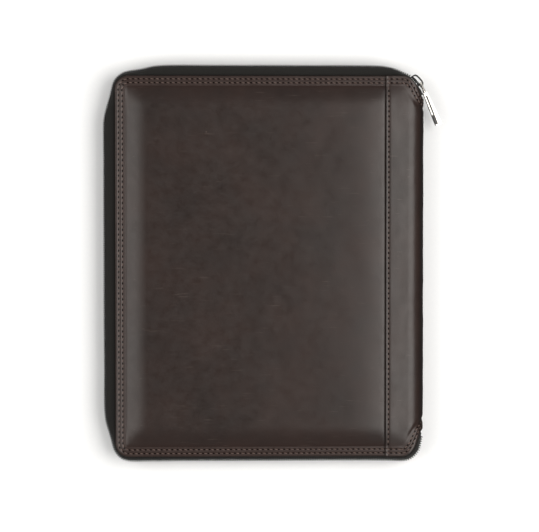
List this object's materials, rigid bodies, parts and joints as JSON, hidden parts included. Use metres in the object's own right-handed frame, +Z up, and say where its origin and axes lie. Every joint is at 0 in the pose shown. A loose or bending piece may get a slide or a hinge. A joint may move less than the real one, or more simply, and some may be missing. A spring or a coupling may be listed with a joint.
{
  "type": "leather document case",
  "caption": "Zip-around leather document case with padded covers, a stitched spine strip and a metal slider whose pull tab swings.",
  "frame": {"origin": "middle of the underside of the back cover, on the surface the case lies on", "axes": "+X towards the spine, +Y towards the top edge of the cover, +Z up through the front cover"},
  "size_m": [0.2926, 0.3425, 0.032],
  "materials": {
    "leather": "oiled pull-up, low sheen",
    "zip_tape": "woven polyester",
    "zip_coil": "moulded nylon coil",
    "lacquer": "black lacquer over a zinc casting",
    "nickel": "polished nickel plate"
  },
  "bodies": {
    "case": {"front_panel": "leather", "back_panel": "leather", "spine_panel": "leather", "zip_tape_front": "zip_tape", "zip_tape_back": "zip_tape", "zip_coil": "zip_coil", "slider_body": "lacquer"},
    "pull": {"pull_tab": "nickel"}
  },
  "joints": [
    {"name": "pull_swing", "type": "hinge", "parent": "case", "child": "pull", "pos_m": [0.13098, 0.15844, 0.016], "axis": [0, 0, 1], "range_deg": [0, 150]}
  ]
}
